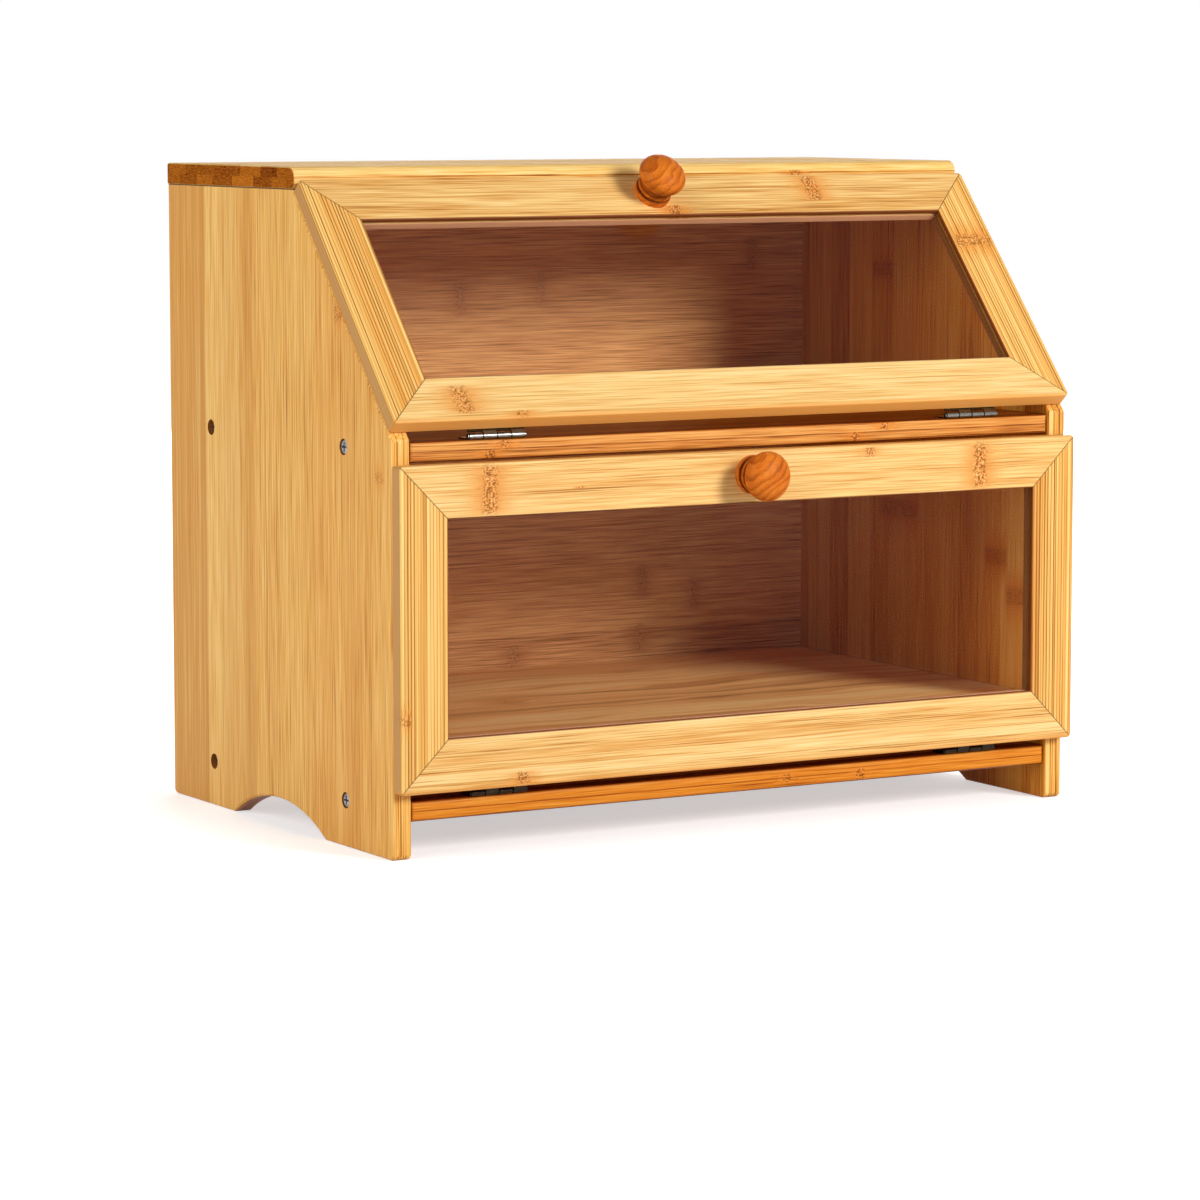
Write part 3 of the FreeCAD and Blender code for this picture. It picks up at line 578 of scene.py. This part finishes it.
for tier, up, off, start, length, middle in DOORS:
    mitre = (up, start, length)
    for place in ("top", "bottom"):
        look = dict(RAIL, **RAIL_LOOKS[f"{tier}_{place}"])
        look["knots"] = [(knot_x, knot_up + start, *rest)
                         for knot_x, knot_up, *rest in look["knots"]]
        look["strip_start"] = look.get("strip_start", 0.0) + start
        dress(f"{tier}_door_{place}_rail", bamboo(
            f"{tier}_{place}_rail_bamboo", X, up, off, centre=middle, mitre=mitre, **look))
    for side in ("left", "right"):
        look = dict(STILE, **STILE_LOOKS[f"{tier}_{side}"])
        look["knots"] = [(knot_up + start, *rest) for knot_up, *rest in look.get("knots", ())]
        dress(f"{tier}_door_{side}_stile", bamboo(
            f"{tier}_{side}_stile_bamboo", up, X, off, centre=middle, mitre=mitre, **look))
    low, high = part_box(f"{tier}_door_knob")
    dress(f"{tier}_door_knob", knob_wood(
        f"{tier}_knob_wood", (low + high) * (MM / 2), off, middle + DOOR_HALF, 3.0 + length))
    dress(f"{tier}_door_window", window_glass(f"{tier}_window_glass", length))

# --- Fittings ---
hinge_steel = plated_steel("hinge_steel", colour(112, 109, 105), 0.16, 1.0)
# The lower hinges: a darker copy of the hinge steel, painted shade for the shadow under the lower
# door.
shaded_steel = plated_steel("shaded_steel", colour(46, 36, 28), 0.3, 1.0)
screw_steel = plated_steel("screw_steel", colour(150, 150, 153), 0.34, 2.0)
catch_steel = plated_steel("catch_steel", colour(190, 190, 192), 0.32, 3.0)
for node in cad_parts:
    if node.endswith("leaf") or node.endswith("pin"):
        dress(node, shaded_steel if node.startswith("lower") else hinge_steel)
    elif "screw" in node:
        dress(node, screw_steel)
    elif node in ("door_catch_magnets", "lower_door_strike_discs"):
        dress(node, catch_steel)

# --- Stage, in metres ---
WHITE = (1.0, 1.0, 1.0, 1.0)
FLOOR_ALBEDO = 0.78
FLOOR_HALF = 12.0
UNDER_BOX = ((X, 0.19), (Y, 0.12))  # half the box's width and depth
GLOW_RISE = 0.1             # beyond them, over which the floor's glow rises
NEAR_GLOW = 0.55            # of the floor under and beside the box, which keeps its shadow
FAR_GLOW = 1.0
AMBIENT = 0.05
LAMPS_AIM = Vector((0, 0, 0.15))


def plane(name, half):
    """A square on the ground that belongs to the stage."""
    mesh = bpy.data.meshes.new(name)
    corners = [(-half, -half, 0), (half, -half, 0), (half, half, 0), (-half, half, 0)]
    mesh.from_pydata(corners, [], [(0, 1, 2, 3)])
    made = bpy.data.objects.new(name, mesh)
    bpy.context.scene.collection.objects.link(made)
    return made


def seen_rays(g):
    """1 for rays that look at the background: the camera's, and those in gloss and glass."""
    rays = g.node("LightPath").outputs
    seen = g.math("MAXIMUM", rays["Is Camera Ray"], rays["Is Glossy Ray"])
    return g.math("MAXIMUM", seen, rays["Is Transmission Ray"])


def white_floor():
    """Matt white that glows away from the box for the rays that see it."""
    g = material_graph("floor_white")
    matt = g.node("BsdfDiffuse")
    matt.inputs["Color"].default_value = (FLOOR_ALBEDO, FLOOR_ALBEDO, FLOOR_ALBEDO, 1.0)
    outside = [g.add(g.math("ABSOLUTE", g.dot("Object", direction)), -reach)
               for direction, reach in UNDER_BOX]
    glow_here = g.step(g.math("MAXIMUM", *outside), 0.0, GLOW_RISE, NEAR_GLOW, FAR_GLOW)
    glow = g.node("Emission")
    g.feed(glow.inputs["Strength"], g.times(seen_rays(g), glow_here))
    glowing = g.node("AddShader")
    g.feed(glowing.inputs[0], matt.outputs[0])
    g.feed(glowing.inputs[1], glow.outputs[0])
    return g.finish(glowing.outputs[0])


plane("studio_floor", FLOOR_HALF).data.materials.append(white_floor())

world = bpy.data.worlds.new("studio")
bpy.context.scene.world = world
sky = Graph(world)
background = sky.node("Background")
background.inputs["Color"].default_value = WHITE
sky.feed(background.inputs["Strength"], sky.step(seen_rays(sky), 0.0, 1.0, AMBIENT, 1.0))
sky.finish(background.outputs[0])


def lamp(name, direction, distance, size, power):
    """A square area lamp that lights the object's middle from a direction."""
    data = bpy.data.lights.new(name, "AREA")
    data.shape = "SQUARE"
    data.size = size
    data.energy = power
    made = bpy.data.objects.new(name, data)
    made.location = LAMPS_AIM + Vector(direction).normalized() * distance
    made.rotation_mode = "QUATERNION"
    made.rotation_quaternion = (made.location - LAMPS_AIM).to_track_quat("Z", "Y")
    made.visible_camera = False
    bpy.context.scene.collection.objects.link(made)


lamp("key", (0.43, -1.0, 0.42), distance=2.2, size=0.65, power=41)
lamp("left_fill", (-1.0, -0.22, 0.35), distance=2.4, size=2.4, power=45)
lamp("back_fill", (0.6, 1.0, 0.28), distance=2.4, size=1.2, power=42)

# --- Camera, as fitted to the photograph ---
AZIMUTH = math.radians(30.329)
ELEVATION = math.radians(-6.494)
camera = bpy.data.objects.new("camera", bpy.data.cameras.new("camera"))
camera.data.sensor_width = 36.0
camera.data.lens = 134.337
camera.data.clip_end = 60.0
camera.location = (-1.144711, -1.925707, 0.356123)
forward = Vector((math.sin(AZIMUTH) * math.cos(ELEVATION),
                  math.cos(AZIMUTH) * math.cos(ELEVATION), math.sin(ELEVATION)))
camera.rotation_mode = "QUATERNION"
camera.rotation_quaternion = forward.to_track_quat("-Z", "Y")
bpy.context.scene.collection.objects.link(camera)
bpy.context.scene.camera = camera
bpy.context.scene.view_settings.view_transform = "Standard"
